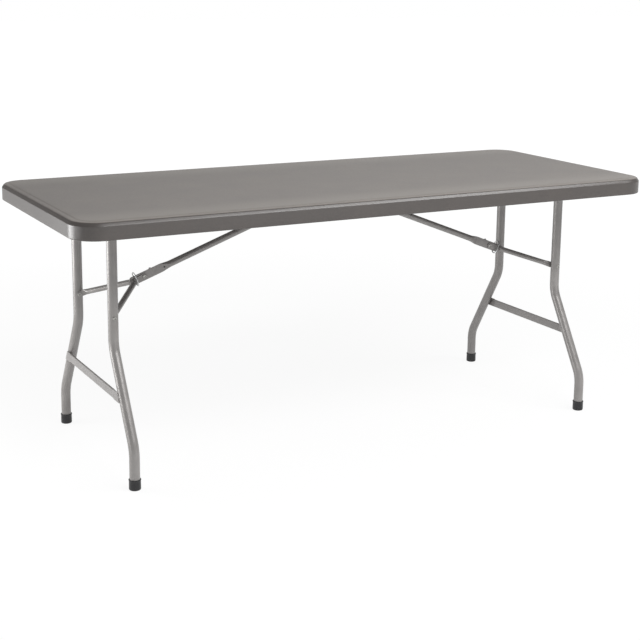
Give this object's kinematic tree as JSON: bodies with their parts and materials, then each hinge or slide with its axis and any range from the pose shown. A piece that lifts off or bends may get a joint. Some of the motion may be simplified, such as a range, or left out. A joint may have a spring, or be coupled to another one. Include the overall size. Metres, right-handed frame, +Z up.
{
  "type": "folding table",
  "caption": "Rectangular folding banquet table with a moulded plastic top on wishbone tube leg frames that fold flat, held by Y braces with sliding lock rings.",
  "frame": {"origin": "on the floor, under the middle of the top, with the legs standing", "axes": "+X along the length of the top, +Y across its width, +Z up"},
  "size_m": [1.829, 0.762, 0.7493],
  "materials": {
    "moulded_top": "textured blow-moulded polyethylene, charcoal grey",
    "powder_coat": "silver-grey powder coat on steel",
    "zinc": "bright zinc plate",
    "black_plastic": "moulded, semi-matte"
  },
  "bodies": {
    "tabletop": {"tabletop": "moulded_top", "front_rail": "powder_coat", "back_rail": "powder_coat", "centre_crossmember": "powder_coat", "deck_screws": "zinc", "rail_bushings": "black_plastic", "brace_bracket": "powder_coat", "brace_pins": "zinc"},
    "left_leg_frame": {"left_pivot_tube": "powder_coat", "left_journals": "zinc", "left_retaining_clips": "zinc", "left_leg_front": "powder_coat", "left_leg_back": "powder_coat", "left_cross_bar": "powder_coat", "left_foot_cap_front": "black_plastic", "left_foot_cap_back": "black_plastic", "left_leg_rivets": "zinc"},
    "left_upper_brace": {"left_upper_arm": "powder_coat", "left_joint_rivet": "zinc"},
    "left_lower_brace": {"left_lower_arm_front": "powder_coat", "left_lower_arm_back": "powder_coat", "left_arm_end_rivets": "zinc"},
    "left_lock_ring": {"left_lock_ring": "zinc"},
    "right_leg_frame": {"right_pivot_tube": "powder_coat", "right_journals": "zinc", "right_retaining_clips": "zinc", "right_leg_front": "powder_coat", "right_leg_back": "powder_coat", "right_cross_bar": "powder_coat", "right_foot_cap_front": "black_plastic", "right_foot_cap_back": "black_plastic", "right_leg_rivets": "zinc"},
    "right_upper_brace": {"right_upper_arm": "powder_coat", "right_joint_rivet": "zinc"},
    "right_lower_brace": {"right_lower_arm_front": "powder_coat", "right_lower_arm_back": "powder_coat", "right_arm_end_rivets": "zinc"},
    "right_lock_ring": {"right_lock_ring": "zinc"}
  },
  "joints": [
    {"name": "left_leg_fold", "type": "hinge", "parent": "tabletop", "child": "left_leg_frame", "pos_m": [-0.747, 0, 0.7133], "axis": [0, -1, 0], "range_deg": [0, 90]},
    {"name": "left_upper_brace_pivot", "type": "hinge", "parent": "tabletop", "child": "left_upper_brace", "pos_m": [-0.031, 0, 0.7133], "axis": [0, 1, 0], "range_deg": [0, 19.76]},
    {"name": "left_brace_joint", "type": "hinge", "parent": "left_upper_brace", "child": "left_lower_brace", "pos_m": [-0.60023, 0, 0.50887], "axis": [0, -1, 0], "range_deg": [0, 174.62]},
    {"name": "left_ring_slide", "type": "slide", "parent": "left_upper_brace", "child": "left_lock_ring", "axis": [0.9509, 0, 0.3094], "range_m": [0, 0.33115]},
    {"name": "right_leg_fold", "type": "hinge", "parent": "tabletop", "child": "right_leg_frame", "pos_m": [0.747, 0, 0.7133], "axis": [0, 1, 0], "range_deg": [0, 90]},
    {"name": "right_upper_brace_pivot", "type": "hinge", "parent": "tabletop", "child": "right_upper_brace", "pos_m": [0.031, 0, 0.7133], "axis": [0, -1, 0], "range_deg": [0, 21.37]},
    {"name": "right_brace_joint", "type": "hinge", "parent": "right_upper_brace", "child": "right_lower_brace", "pos_m": [0.59404, 0, 0.49303], "axis": [0, 1, 0], "range_deg": [0, 182.24]},
    {"name": "right_ring_slide", "type": "slide", "parent": "right_upper_brace", "child": "right_lock_ring", "axis": [-0.9418, 0, 0.336], "range_m": [0, 0.33115]}
  ],
  "couplings": [
    {"joint": "left_upper_brace_pivot", "follows": "left_leg_fold", "ratio": 0.2195},
    {"joint": "left_brace_joint", "follows": "left_leg_fold", "ratio": 1.9402},
    {"joint": "left_ring_slide", "follows": "left_leg_fold", "m_per_rad": 0.21082},
    {"joint": "right_upper_brace_pivot", "follows": "right_leg_fold", "ratio": 0.2374},
    {"joint": "right_brace_joint", "follows": "right_leg_fold", "ratio": 2.0249},
    {"joint": "right_ring_slide", "follows": "right_leg_fold", "m_per_rad": 0.21082}
  ]
}
